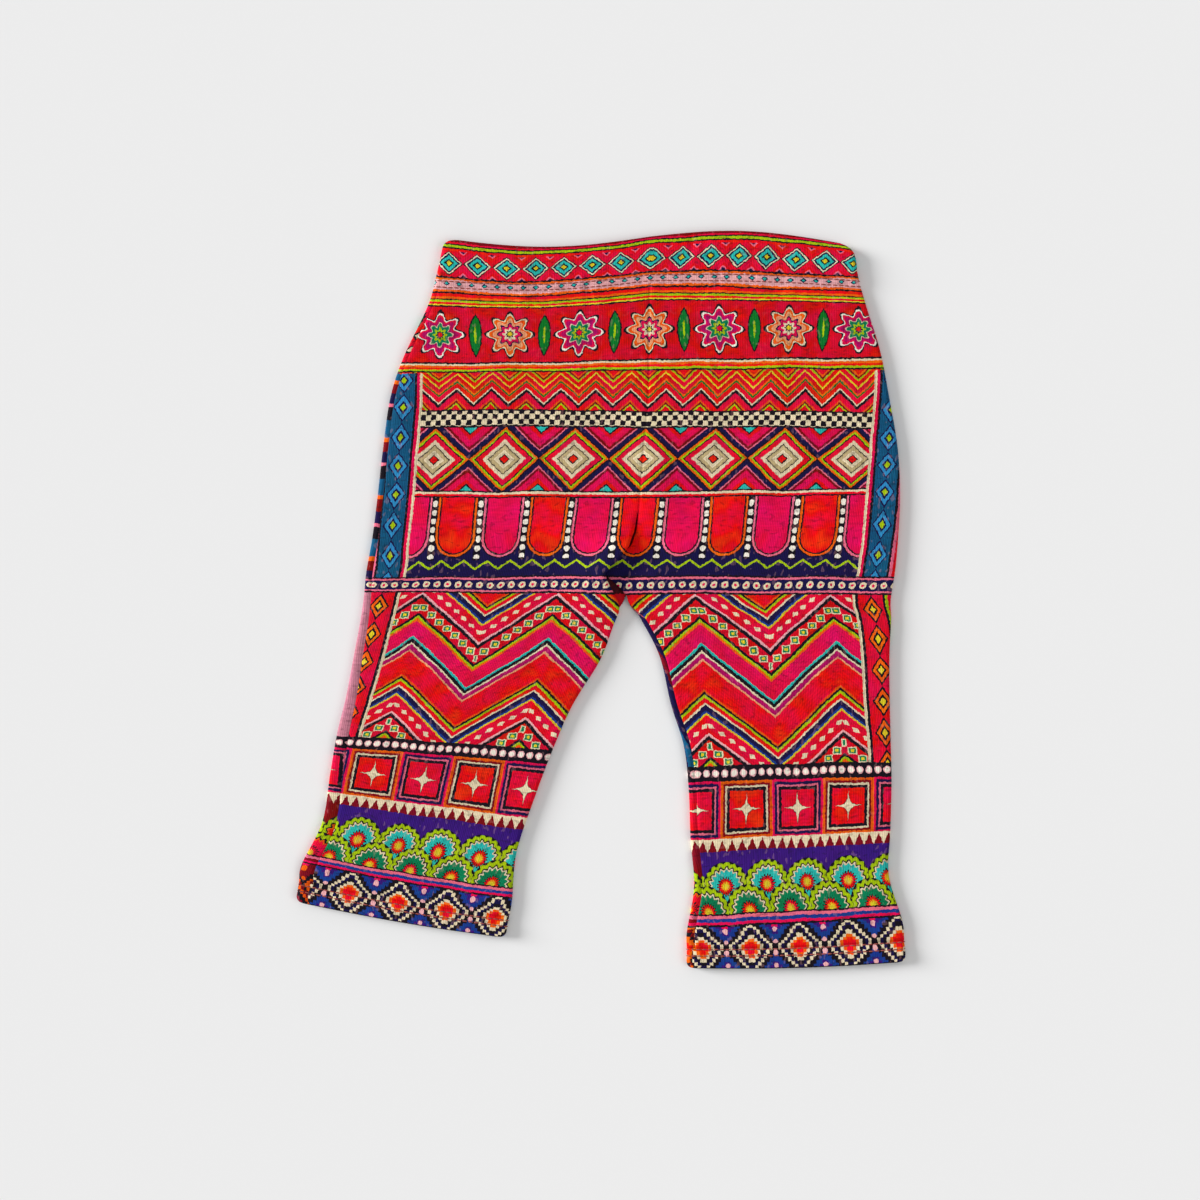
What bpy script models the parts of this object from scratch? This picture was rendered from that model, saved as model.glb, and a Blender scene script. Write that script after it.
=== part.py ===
# Baby leggings in stretch jersey, laid flat on a surface with their front up.
#
# +Z is up, +Y runs to the waist and +X to the right of someone looking down at them. The origin
# is on the surface under the middle of the garment. Left and right are the looker's.
#
# Each half is a flattened tube. A table gives its sections from the waist edge to the hem edge, and
# a path round each section gives the middle of the cloth: the back layer lies on the surface, the
# front layer lies on the back, and the two meet round small folds at the edges. Every panel is a
# grid of points on those paths with a wall on it. Lengths are in millimetres up to place().

import math
from collections import namedtuple

import bmesh
import bpy
from mathutils import Vector

MM = 0.001

# Driving dimensions
CLOTH_WALL = 1.2
CASING_WALL = 2.0  # two layers of cloth over a flat elastic
HEM_WALL = 1.7  # cloth turned up double
FOLD_RADIUS = 1.1  # of a panel's folded edge, at the middle of its wall
CASING_RADIUS = 1.3
HEM_RADIUS = 1.15
SEAM_GAP = 0.3
EDGE_RUN = 4.0  # flat cloth beside a folded edge that has its own column of points
MERGE_DISTANCE = 0.001

FRONT, BACK = 1, -1
CASING_SEAM = 1  # the section where the casing is sewn down
HEM_SEAM = -2  # the section where a hem is sewn down

# Above the crotch a panel's inner edge lies flat against the other half's. Below it the leg's two
# panels join: one draws back from the edge, and the other rolls round it, a little lower down.
DRAW_FROM_Y, DRAW_TO_Y = 5.0, -4.0
ROLL_FROM_Y, ROLL_TO_Y = -3.0, -14.0

# A section runs from the half's side edge to its inner edge. Its middle bows towards the waist. The
# back panel turns round an edge onto the front by `turn`, or the front turns under where it is
# negative. `steps` rows of points lead to the next section.
Section = namedtuple(
    "Section", "side_x side_y inner_x inner_y bow side_turn inner_turn steps"
)

LEFT_SECTIONS = (
    Section(-76.4, 176.2, 24.2, 177.8, -4.2, 2.2, -2.2, 3),
    Section(-81.7, 152.3, 24.2, 155.2, -3.0, 2.2, -2.2, 1),
    Section(-86.1, 140.1, 23.9, 143.0, -2.0, 2.2, -2.2, 2),
    Section(-96.4, 118.6, 23.7, 120.5, -0.8, 2.2, -2.2, 2),
    Section(-102.7, 99.1, 23.2, 98.1, 0.0, 2.2, -2.2, 3),
    Section(-106.6, 74.7, 21.2, 74.7, 0.0, 2.3, -2.2, 3),
    Section(-110.0, 50.3, 19.3, 50.3, 0.0, 2.5, -2.2, 4),
    Section(-112.0, 30.7, 17.3, 31.7, 0.0, 2.8, -2.2, 5),
    Section(-114.4, 14.2, 15.4, 16.1, 0.0, 3.1, -2.2, 5),
    Section(-115.9, 2.0, 11.5, 0.5, 0.0, 3.4, -2.2, 4),
    Section(-117.9, -10.2, 6.6, -11.2, 0.0, 3.8, -2.3, 3),
    Section(-121.3, -27.8, -0.2, -28.8, 0.0, 4.3, -2.6, 3),
    Section(-124.7, -46.8, -13.4, -50.3, 0.0, 4.9, -3.0, 2),
    Section(-128.6, -64.4, -22.6, -70.8, 0.0, 5.5, -3.3, 3),
    Section(-132.0, -83.9, -31.5, -94.2, 0.0, 6.0, -3.6, 3),
    Section(-135.9, -107.8, -40.9, -122.5, -0.5, 6.5, -4.0, 3),
    Section(-145.9, -128.4, -43.2, -146.2, -1.6, 6.8, -4.2, 1),
    Section(-147.3, -136.3, -44.9, -154.0, -1.9, 6.8, -4.2, 2),
    Section(-148.8, -146.2, -46.6, -163.8, -2.2, 6.8, -4.2, 0),
)

RIGHT_SECTIONS = (
    Section(121.0, 173.6, 24.2, 177.8, 4.2, -2.2, 2.2, 3),
    Section(127.4, 152.3, 24.2, 155.2, 1.0, -2.2, 2.2, 1),
    Section(130.6, 141.6, 23.9, 143.0, 0.6, -2.2, 2.2, 2),
    Section(136.8, 121.5, 23.7, 120.5, 0.0, -2.2, 2.2, 2),
    Section(141.3, 98.1, 23.2, 98.1, 0.0, -2.2, 2.2, 3),
    Section(145.2, 74.7, 21.2, 74.7, 0.0, -2.3, 2.2, 3),
    Section(146.4, 51.7, 19.3, 50.3, 0.0, -2.4, 2.2, 4),
    Section(145.4, 30.7, 17.3, 31.7, 0.0, -2.5, 2.2, 5),
    Section(144.0, 15.1, 15.4, 16.1, 0.0, -2.6, 2.2, 5),
    Section(141.8, 0.5, 13.4, 0.5, 0.0, -2.7, 2.2, 4),
    Section(142.0, -9.3, 20.3, -9.8, 0.0, -2.8, 2.2, 3),
    Section(141.2, -26.4, 29.0, -27.3, 0.0, -3.0, 2.4, 3),
    Section(141.3, -48.3, 34.4, -50.3, 0.0, -3.2, 2.7, 2),
    Section(141.8, -68.8, 40.7, -70.8, 0.0, -3.4, 3.0, 3),
    Section(142.2, -89.8, 43.1, -92.2, 0.0, -3.7, 3.3, 3),
    Section(141.4, -112.7, 44.2, -116.6, 0.0, -4.0, 3.6, 3),
    Section(140.9, -134.0, 44.7, -139.5, 0.0, -4.0, 3.8, 3),
    Section(147.4, -156.0, 42.2, -161.4, -1.2, -4.0, 3.8, 1),
    Section(148.4, -165.0, 42.1, -169.4, -1.4, -4.0, 3.8, 2),
    Section(149.3, -175.0, 42.0, -179.3, -1.6, -4.0, 3.8, 0),
)

# The tuck at the crotch: the left front bulges, rolls its edge under and lies over the right front.
# Each row gives how far the two inner edges are shifted in X, the bulge's height at its edge and
# how far the edge is rolled, from 0 to 1.
Tuck = namedtuple("Tuck", "y left_shift right_shift lift roll")
TUCK = (
    Tuck(46.0, 0.0, 0.0, 0.0, 0.0),
    Tuck(34.0, -0.4, 0.0, 1.4, 0.5),
    Tuck(27.0, -2.8, -1.6, 3.6, 1.0),
    Tuck(22.0, -6.1, -7.6, 4.6, 1.0),
    Tuck(13.4, -12.6, -14.0, 4.8, 1.0),
    Tuck(10.0, -10.8, -8.5, 4.6, 1.0),
    Tuck(6.3, -8.1, -3.6, 3.8, 1.0),
    Tuck(2.0, -4.4, 0.0, 2.6, 1.0),
    Tuck(-3.0, -0.8, 0.0, 1.8, 1.0),
    Tuck(-6.0, 0.0, 0.0, 1.2, 1.0),
    Tuck(-14.0, 0.0, 0.0, 0.0, 1.0),
)
TUCK_TOP_LIFT = 4.8
TUCK_REACH = 17.0  # how far the bulge runs back from its edge
TUCK_CURL = 0.6  # more of the edge goes under
FLAP_DIP = 0.5  # the right front sinks where it runs under the left

# Soft folds of the front layer: `heading` is in degrees from +X, and a negative height is a trough.
Fold = namedtuple("Fold", "x y heading length width height")
FRONT_FOLDS = (
    Fold(28.0, 62.0, 100.0, 34.0, 10.0, 1.1),
    Fold(-18.0, 46.0, 148.0, 42.0, 9.0, 1.0),
    Fold(-32.0, 26.0, 160.0, 36.0, 8.0, -0.5),
    Fold(58.0, 38.0, 40.0, 40.0, 9.0, 0.9),
    Fold(52.0, 12.0, 14.0, 34.0, 8.0, 0.7),
    Fold(-70.0, -44.0, 12.0, 30.0, 12.0, 0.8),
    Fold(94.0, -62.0, -10.0, 32.0, 12.0, 0.8),
    Fold(-88.0, -98.0, 6.0, 26.0, 9.0, -0.4),
    Fold(92.0, -112.0, 4.0, 28.0, 9.0, -0.4),
    Fold(-50.0, 120.0, 70.0, 26.0, 14.0, 0.6),
    Fold(84.0, 122.0, 104.0, 24.0, 13.0, 0.6),
)
EDGE_FADE = 14.0  # the front layer's folds die out this near a folded edge

FRONT_COLUMNS, BACK_COLUMNS = 8, 2  # of points between the two edges of a panel
INNER_CROWDING = 1.5  # over 1 draws the front's columns towards its inner edge
CASING_COLUMNS, HEM_COLUMNS = 4, 5

Half = namedtuple("Half", "sections shift_column")
LEFT = Half(LEFT_SECTIONS, "left_shift")
RIGHT = Half(RIGHT_SECTIONS, "right_shift")

RED = (0.62, 0.02, 0.05)
DARK_RED = (0.50, 0.02, 0.05)
BORDER_BLUE = (0.07, 0.06, 0.30)
JERSEY_ROUGHNESS = 0.85


def clear_scene():
    for old in list(bpy.data.objects):
        bpy.data.objects.remove(old, do_unlink=True)


def mix(start, end, share):
    return start + (end - start) * share


def ramp(value, low, high):
    share = min(max((value - low) / (high - low), 0.0), 1.0)
    return share * share * (3.0 - 2.0 * share)


def section_at(half, at):
    """The section at a place in the half's table, on a smooth curve through its rows."""
    rows = half.sections
    first = min(int(at), len(rows) - 2)
    share = at - first
    before = rows[max(first - 1, 0)]
    after = rows[min(first + 2, len(rows) - 1)]
    values = []
    for a, b, c, d in zip(before, rows[first], rows[first + 1], after):
        bend = (2 * a - 5 * b + 4 * c - d) * share + (3 * b - a - 3 * c + d) * share**2
        values.append(b + 0.5 * share * ((c - a) + bend))
    return Section(*values)


def row_places(half, start, end):
    """Places in the half's table from one section to another, with the steps that it asks for."""
    places = [float(start)]
    for index in range(start, end):
        steps = half.sections[index].steps
        places += [index + (step + 1) / steps for step in range(steps)]
    return places


def panel_places(half):
    """A leg panel's rows, which stop short of the casing and of the hem by the seam's gap."""
    last = len(half.sections) + HEM_SEAM
    places = row_places(half, CASING_SEAM, last)
    top, under, over, bottom = (
        half.sections[index] for index in (CASING_SEAM, CASING_SEAM + 1, last - 1, last)
    )
    places[0] += SEAM_GAP / abs(top.inner_y - under.inner_y)
    places[-1] -= SEAM_GAP / abs(over.inner_y - bottom.inner_y)
    return places


def tuck_at(y):
    """The tuck's values at this height, in straight runs between its rows."""
    if y >= TUCK[0].y:
        return TUCK[0]
    for above, below in zip(TUCK, TUCK[1:]):
        if y >= below.y:
            share = (above.y - y) / (above.y - below.y)
            return Tuck(*(mix(a, b, share) for a, b in zip(above, below)))
    return TUCK[-1]


def fold_height(x, y):
    """How far the soft folds raise the front layer here."""
    height = 0.0
    for fold in FRONT_FOLDS:
        heading = math.radians(fold.heading)
        across = Vector((x - fold.x, y - fold.y))
        run = across.dot(Vector((math.cos(heading), math.sin(heading))))
        side = across.dot(Vector((-math.sin(heading), math.cos(heading))))
        height += fold.height * math.exp(-((run / fold.length) ** 2) - (side / fold.width) ** 2)
    return height


class Row:
    """One row of points of a panel: a path round the section that it lies on."""

    def __init__(self, half, at, layer, wall, radius, tucked=False):
        section = section_at(half, at)
        self.layer = layer
        self.radius = radius
        self.middle = wall / 2 + radius  # height of the edges' folds, and how far in they turn
        self.quarter = math.pi * radius / 2
        self.bow = section.bow
        self.side_turn = section.side_turn * layer
        self.inner_turn = section.inner_turn * layer
        if self.inner_turn < 0:
            self.folded = ramp(section.inner_y, ROLL_FROM_Y, ROLL_TO_Y)
        else:
            self.folded = ramp(section.inner_y, DRAW_FROM_Y, DRAW_TO_Y)
        self.lift = 0.0
        self.side = Vector((section.side_x, section.side_y))
        inner = Vector((section.inner_x, section.inner_y))
        if tucked:
            tuck = tuck_at(section.inner_y)
            inner.x += getattr(tuck, half.shift_column)
            if half is LEFT:
                self.lift = tuck.lift
                self.folded = max(self.folded, tuck.roll)
                self.inner_turn -= TUCK_CURL * tuck.lift / TUCK_TOP_LIFT
            else:
                self.lift = -FLAP_DIP * tuck.lift / TUCK_TOP_LIFT
        self.width = (inner - self.side).length
        self.across = (inner - self.side) / self.width
        up = Vector((-self.across.y, self.across.x))
        self.up = up if up.y > 0 else -up

    def place(self, inward, height):
        """The point this far in from the side edge and this high, in metres."""
        share = min(max(inward / self.width, 0.0), 1.0)
        point = self.side + self.across * inward + self.up * self.bow * math.sin(math.pi * share)
        if self.layer == FRONT:
            height += self.loft(point, inward)
        return Vector((point.x, point.y, height)) * MM

    def loft(self, point, inward):
        """How far the front layer stands off the back: its soft folds and the tuck's bulge."""
        from_inner = self.width - inward
        inner_fade = mix(1.0, ramp(from_inner, self.middle, EDGE_FADE), self.folded)
        side_fade = ramp(inward, self.middle, EDGE_FADE)
        bulge = self.lift * math.exp(-((from_inner / TUCK_REACH) ** 2))
        return fold_height(point.x, point.y) * side_fade * inner_fade + bulge

    def round_edge(self, run):
        """Distance in from an edge, and height, where the path is this far past the edge's fold."""
        if run < -self.quarter:
            return self.middle - run - self.quarter, self.middle - self.layer * self.radius
        if run > self.quarter:
            return self.middle + run - self.quarter, self.middle + self.layer * self.radius
        turn = run / self.radius
        return (
            self.middle - self.radius * math.cos(turn),
            self.middle + self.layer * self.radius * math.sin(turn),
        )

    def edge_points(self, turn):
        """Points from a panel's cut edge to the flat cloth beside it, as round_edge gives them. The
        cut lies on the panel's own layer, or beyond the fold where the panel turns round it."""
        start = turn + SEAM_GAP / 2
        if turn > 0:
            runs = [start, start + EDGE_RUN / 2, start + EDGE_RUN]
        else:
            runs = [start] + [self.quarter * share for share in (-1.0, -1 / 3, 1 / 3, 1.0)]
            runs.append(self.quarter + EDGE_RUN)
        return [(run - start, *self.round_edge(run)) for run in runs]

    def side_points(self):
        return [spot[1:] for spot in self.edge_points(self.side_turn)]

    def inner_points(self):
        """Points from the flat cloth to the inner cut, which lies by the other half's until folded."""
        flat_height = self.middle + self.layer * self.radius
        points = []
        for run, inward, height in self.edge_points(self.inner_turn):
            inward = mix(run + SEAM_GAP / 2, inward, self.folded)
            points.append((self.width - inward, mix(flat_height, height, self.folded)))
        return points[::-1]

    def half_round(self):
        """Points from the middle of a folded edge to the flat cloth beside it."""
        runs = (0.0, self.quarter / 2, self.quarter, self.quarter + EDGE_RUN)
        return [self.round_edge(run) for run in runs]

    def between(self, start, end, count, crowding=1.0):
        """Points on the flat of the layer, between two of its edges' points."""
        shares = [1.0 - (1.0 - (n + 1) / (count + 1)) ** crowding for n in range(count)]
        return [(mix(start[0], end[0], s), mix(start[1], end[1], s)) for s in shares]


def leg_panel(half, layer):
    """Rows of points of a front or back panel, from its side seam to its inner seam."""
    columns = FRONT_COLUMNS if layer == FRONT else BACK_COLUMNS
    crowding = INNER_CROWDING if layer == FRONT else 1.0
    rows = []
    for at in panel_places(half):
        row = Row(half, at, layer, CLOTH_WALL, FOLD_RADIUS, tucked=layer == FRONT)
        side = row.side_points()
        inner = row.inner_points()
        middle = row.between(side[-1], inner[0], columns, crowding)
        rows.append([row.place(*spot) for spot in side + middle + inner])
    return rows


def casing():
    """Rows of points round the waist casing. Each starts and ends at the left side edge."""
    rows = []
    for at in row_places(LEFT, 0, CASING_SEAM):
        quarters = {}
        for half in (LEFT, RIGHT):
            for layer in (FRONT, BACK):
                row = Row(half, at, layer, CASING_WALL, CASING_RADIUS)
                side = row.half_round()
                centre = (row.width, side[-1][1])
                flat = row.between(side[-1], centre, CASING_COLUMNS)
                quarters[half, layer] = [row.place(*spot) for spot in side + flat + [centre]]
        front = quarters[LEFT, FRONT] + quarters[RIGHT, FRONT][-2::-1]
        back = quarters[RIGHT, BACK][1:] + quarters[LEFT, BACK][-2::-1]
        rows.append(front + back)
    return rows


def hem(half):
    """Rows of points round a hem. Each starts and ends at the leg's side edge."""
    last = len(half.sections) - 1
    rows = []
    for at in row_places(half, last - 1, last):
        layers = {}
        for layer in (FRONT, BACK):
            row = Row(half, at, layer, HEM_WALL, HEM_RADIUS)
            side = row.half_round()
            inner = [(row.width - inward, height) for inward, height in reversed(side)]
            flat = row.between(side[-1], inner[0], HEM_COLUMNS)
            layers[layer] = [row.place(*spot) for spot in side + flat + inner]
        rows.append(layers[FRONT] + layers[BACK][-2::-1])
    return rows


def cloth_material(name, color):
    material = bpy.data.materials.new(name)
    material.use_nodes = True
    shader = material.node_tree.nodes["Principled BSDF"]
    shader.inputs["Base Color"].default_value = (*color, 1.0)
    shader.inputs["Roughness"].default_value = JERSEY_ROUGHNESS
    shader.inputs["Metallic"].default_value = 0.0
    material.diffuse_color = (*color, 1.0)
    return material


def cloth(name, rows, wall, color):
    """One piece of cloth: a grid laid on the rows of points, with a wall on it."""
    across, down = len(rows[0]) - 1, len(rows) - 1
    sheet = bmesh.new()
    bmesh.ops.create_grid(sheet, x_segments=across, y_segments=down, size=1.0)
    for point in sheet.verts:
        column = round((point.co.x + 1.0) / 2.0 * across)
        row = round((point.co.y + 1.0) / 2.0 * down)
        point.co = rows[row][column]
    # A ring's first and last columns are one.
    bmesh.ops.remove_doubles(sheet, verts=sheet.verts, dist=MERGE_DISTANCE * MM)
    bmesh.ops.recalc_face_normals(sheet, faces=sheet.faces)
    mesh = bpy.data.meshes.new(name)
    sheet.to_mesh(mesh)
    sheet.free()
    mesh.shade_smooth()
    mesh.materials.append(cloth_material(name, color))
    piece = bpy.data.objects.new(name, mesh)
    bpy.context.scene.collection.objects.link(piece)
    thickness = piece.modifiers.new("wall", "SOLIDIFY")
    thickness.thickness = wall * MM
    thickness.offset = 0.0
    thickness.use_even_offset = True
    return piece


def main():
    clear_scene()
    cloth("waistband", casing(), CASING_WALL, DARK_RED)
    for side, half in (("left", LEFT), ("right", RIGHT)):
        cloth(f"front_{side}", leg_panel(half, FRONT), CLOTH_WALL, RED)
        cloth(f"back_{side}", leg_panel(half, BACK), CLOTH_WALL, RED)
        cloth(f"hem_{side}", hem(half), HEM_WALL, BORDER_BLUE)


main()
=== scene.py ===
# Baby leggings in printed stretch jersey, laid flat on a pale surface: the looks, round the
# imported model. Lengths are in millimetres until a point is placed.

import math
from collections import namedtuple

import bmesh
import bpy
from mathutils import Matrix, Vector, noise


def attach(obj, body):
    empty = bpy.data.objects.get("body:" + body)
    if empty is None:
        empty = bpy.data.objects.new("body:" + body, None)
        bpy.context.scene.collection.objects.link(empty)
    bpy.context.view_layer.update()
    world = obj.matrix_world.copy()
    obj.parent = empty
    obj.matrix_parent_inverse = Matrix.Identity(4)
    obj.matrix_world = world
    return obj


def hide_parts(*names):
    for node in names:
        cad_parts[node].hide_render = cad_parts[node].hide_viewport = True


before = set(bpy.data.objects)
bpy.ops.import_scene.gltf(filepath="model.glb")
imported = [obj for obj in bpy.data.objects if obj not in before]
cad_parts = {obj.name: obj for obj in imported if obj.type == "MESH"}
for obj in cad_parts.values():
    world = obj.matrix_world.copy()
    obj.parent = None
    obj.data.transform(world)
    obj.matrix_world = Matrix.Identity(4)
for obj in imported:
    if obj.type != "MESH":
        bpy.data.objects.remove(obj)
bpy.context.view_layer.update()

millimetre = 0.001
front, back = 1, -1

# ---- the garment's form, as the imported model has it


def tableOf(kind, text):
    # a record of this kind for each line of numbers
    return [kind(*map(float, line.split())) for line in text.strip().splitlines()]


# A section runs from a half's side edge to its inner edge, and its middle bows to the waist. The
# back panel turns round an edge onto the front by `turn`, or the front turns under where it is
# negative.
Section = namedtuple("Section", "sideX sideY innerX innerY bow sideTurn innerTurn")

leftLeg = {
    "tuckShift": "leftShift",
    "waistCorner": 5.0,  # radius seen from above
    "sections": tableOf(Section, """
        -76.4 176.2 24.2 177.8 -4.2 2.2 -2.2
        -81.7 152.3 24.2 155.2 -3 2.2 -2.2
        -86.1 140.1 23.9 143 -2 2.2 -2.2
        -96.4 118.6 23.7 120.5 -0.8 2.2 -2.2
        -102.7 99.1 23.2 98.1 0 2.2 -2.2
        -106.2 74.7 21.2 74.7 0 2.3 -2.2
        -109 50.3 19.3 50.3 0 2.5 -2.2
        -111.5 30.7 17.3 31.7 0 2.8 -2.2
        -114.4 14.2 15.4 16.1 0 3.1 -2.2
        -115.6 2 11.5 0.5 0 3.4 -2.2
        -117.4 -10.2 6.6 -11.2 0 3.8 -2.3
        -120.7 -27.8 -0.2 -28.8 0 4.3 -2.6
        -124.3 -46.8 -13.4 -50.3 0 4.9 -3
        -128.6 -64.4 -22.6 -70.8 0 5.5 -3.3
        -132 -83.9 -31.5 -94.2 0 6 -3.6
        -135.9 -107.8 -40.9 -122.5 -0.5 6.5 -4
        -145.9 -128.4 -43.2 -146.2 -1.6 6.8 -4.2
        -147.3 -136.8 -44.7 -154.5 -1.3 6.8 -4.2
        -148.8 -146.9 -46.4 -164.5 -1.1 6.8 -4.2
    """),
}

rightLeg = {
    "tuckShift": "rightShift",
    "waistCorner": 7.0,
    "sections": tableOf(Section, """
        121 174.5 24.2 177.8 4.2 -2.2 2.2
        127.4 152.3 24.2 155.2 1 -2.2 2.2
        130.6 141.6 23.9 143 0.6 -2.2 2.2
        136.8 121.5 23.7 120.5 0 -2.2 2.2
        141.3 98.1 23.2 98.1 0 -2.2 2.2
        145.2 74.7 21.2 74.7 0 -2.3 2.2
        146.4 51.7 19.3 50.3 0 -2.4 2.2
        145.4 30.7 17.3 31.7 0 -2.5 2.2
        144 15.1 15.4 16.1 0 -2.6 2.2
        141.8 0.5 13.4 0.5 0 -2.7 2.2
        142 -9.3 20.3 -9.8 0 -2.8 2.2
        141.2 -26.4 29 -27.3 0 -3 2.4
        141.3 -48.3 34.4 -50.3 0 -3.2 2.7
        141.8 -68.8 40.7 -70.8 0 -3.4 3
        142.2 -89.8 43.1 -92.2 0 -3.7 3.3
        141.6 -112.7 44 -116.6 0 -4 3.6
        140.9 -134 45.7 -139.5 0 -4 3.8
        147.4 -156 42.2 -161.4 -1.2 -4 3.8
        148.4 -165.6 42.1 -169.4 -1.2 -4 3.8
        149.3 -176.2 42 -179.3 -1.3 -4 3.8
    """),
}
casingSeam, crotchSection, hemSeam = 1, 9, -2  # places in the lists of sections

# The tuck at the crotch: the left front bulges, rolls its edge under and lies over the right.
Tuck = namedtuple("Tuck", "y leftShift rightShift lift roll")
tuckRows = tableOf(Tuck, """
    46 0 0 0 0
    34 -0.4 0 1.4 0.5
    27 -2.8 -1.6 3.6 1
    22 -6.1 -7.6 4.6 1
    13.4 -12.6 -14 4.8 1
    10 -10.8 -8.5 4.6 1
    6.3 -8.1 -3.6 3.8 1
    2 -4.4 0 2.6 1
    -3 -0.8 0 1.8 1
    -6 0 0 1.2 1
    -14 0 0 0 1
""")
tuckForm = {"topLift": 4.8, "reach": 17.0, "curl": 0.6, "flapDip": 0.5}
innerEdge = {"draw": (1.0, -9.0), "roll": (-1.0, -10.0)}  # heights between which it turns

# Soft folds. A negative height is a trough, and `bend` curves the crest sideways at its ends.
# A small crease has a shallow valley beside it, `valleyAt` widths from its crest.
Crease = namedtuple("Crease", "x y heading length width height bend")
creaseForm = {"reach": 2.4, "largeWidth": 7.5, "valley": 0.3, "valleyAt": 1.7}
# the large ones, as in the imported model, and small ones at the waist, the crotch and the knees
frontCreases = tableOf(Crease, """
    28 62 100 34 10 1.1 0
    -18 46 148 42 9 1 0
    -32 26 160 36 8 -0.5 0
    58 38 40 40 9 0.9 0
    52 12 14 34 8 0.7 0
    -70 -44 12 30 12 0.8 0
    94 -62 -10 32 12 0.8 0
    -88 -98 6 26 9 -0.4 0
    92 -112 4 28 9 -0.4 0
    -50 120 70 26 14 0.6 0
    84 122 104 24 13 0.6 0
""")
frontCreases += tableOf(Crease, """
    44.7 174 88 6 1.3 -0.45 0.3
    47.6 171 84 7 1.9 0.4 0
    61 151 15 10 2.2 0.5 -0.8
    58 147.6 18 9 1.8 -0.35 -0.6
    8 28 62 12 3 0.5 1
    -4 22 150 13 2.6 0.6 -1.2
    -7 12 166 14 2.4 -0.45 1
    -12 2 176 13 3 0.45 1.2
    22 22 34 14 2.8 -0.4 1.2
    27 13 22 15 3 0.5 -1
    34 -3 -6 13 3.2 0.4 -1
    -40 -30 20 18 3.8 0.4 1.5
    -94 -36 -14 15 4 0.35 1.5
    -104 -58 8 14 3.6 -0.3 1
    -60 -66 16 20 4.2 0.35 -1.5
    70 -36 -18 18 4 0.4 1.4
    118 -46 12 15 3.8 0.35 -1.2
    66 -84 -8 16 4.2 0.3 1.2
    122 -92 6 14 3.6 -0.3 1
    -98 86 112 20 5 0.35 2
    -84 30 96 26 6 0.4 2
    124 70 78 22 5 0.35 -2
    108 20 84 26 6 0.4 -2
    -30 90 100 24 5.5 -0.3 1.5
    66 92 76 24 5.5 -0.3 -1.5
    -122 -118 60 14 4.5 0.35 1
    132 -142 118 14 4.5 0.35 -1
""")
backCreases = tableOf(Crease, """
    24 70 92 36 9 0.7 0
    -26 34 152 38 8 0.7 2
    70 30 30 38 8 0.7 -2
    -74 -40 10 30 10 0.6 1.5
    96 -58 -12 30 10 0.6 -1.5
    -94 -96 8 24 7 0.5 1
    90 -108 -6 26 7 0.5 -1
    -48 116 76 28 10 0.5 2
    88 118 98 26 10 0.5 -2
    -6 12 160 16 4 0.5 1
    38 8 24 16 4 0.5 -1
    -90 66 104 24 6 0.4 2
    126 60 82 24 6 0.4 -2
    -52 -72 18 20 5 0.4 -1
    68 -80 -16 20 5 0.4 1
""")

jersey = {
    "wall": 0.9,
    "edge": 1.7,  # radius of a folded edge at the cloth's outer face
    "largeFade": 14.0,  # large folds die out this near a folded edge
    "smallFade": 6.5,
    "step": 1.35,  # between rows
    "flatColumns": 84,
    "unevenness": 0.22,
    "unevenSpan": 27.0,
    "layersApart": 2.0,  # half of how far the front's and the back's noise are apart
    "seamDip": 0.38,
    "seamWidth": 0.75,
    "backShare": 0.5,  # of the small ripples, on the back that lies on the surface
}
gather = {  # ripples that the elastic draws in, by their distance down the cloth
    "height": 0.34,
    "span": 5.2,
    "noiseAt": 9.0,
    "drift": 60.0,  # how far down a ripple keeps its place
    "grow": (2.0, 12.0),
    "fadeFrom": 23.0,
    "reach": 17.0,
}
edgeSteps = {  # where the points of a panel's edge lie
    "flat": (0.0, 0.35, 0.75, 1.3, 2.2, 4.0),  # millimetres from a seam on this face
    "toFold": (0.0, 0.1, 0.24, 0.42, 0.7),  # shares of the way from a seam beyond the fold
    "round": (-1.0, -0.75, -0.5, -0.25, 0.0, 0.25, 0.5, 0.75, 1.0),  # quarters of the fold
    "past": (1.3, 2.6, 4.0),  # millimetres past the fold
}
waistCasing = {
    "edge": 2.3,  # half of the casing's height where it lies over the elastic
    "hollow": 0.3,  # half of the gap between its inner faces
    "slope": (16.8, 22.0),  # its outer face comes down to the leg panels here
    "stitchRows": (18.4, 21.3),
    "flatColumns": 88,
    "depthSteps": 26,
}
hem = {
    "edge": 2.0,
    "hollow": 0.3,
    "slope": (5.0, 9.2),  # measured from the hem edge
    "stitchRows": (6.0, 8.6),
    "corner": 4.0,  # radius seen from above
    "flatColumns": 80,
    "depthSteps": 16,
}
bandEdge = {"arc": (0.0, 0.2, 0.4, 0.6, 0.8, 1.0), "rollSteps": 8, "innerSteps": 6}
sideSeam = {  # a side seam that crosses a band: millimetres beside it, and shares of its dip
    "spots": ((-0.5, 0.3), (0.0, 1.0), (0.5, 0.3), (1.0, 0.0)),
    "leastTurn": 3.4,
    "radius": (0.9, 1.8),  # the dip fades on a band's inner face
}
stitch = {
    "pitch": 2.9,
    "length": 2.6,
    "width": 0.72,
    "proud": 0.1,
    "dip": 0.3,
    "dipWidth": 0.6,
    "rowStep": 0.4,  # to the next ring of points, which shows where down is
    "segments": (6, 5),
}
outseamLength = 340.0  # of the print, from waist edge to hem edge
pucker = {  # ripples along the stitching
    "height": 0.32,
    "within": 2.5,  # reaches
    "layersApart": 4.0,
    "seams": (
        {"down": 20.4, "reach": 4.5, "span": 3.1},
        {"down": outseamLength - 7.4, "reach": 4.0, "span": 2.7},
    ),
}
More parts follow.
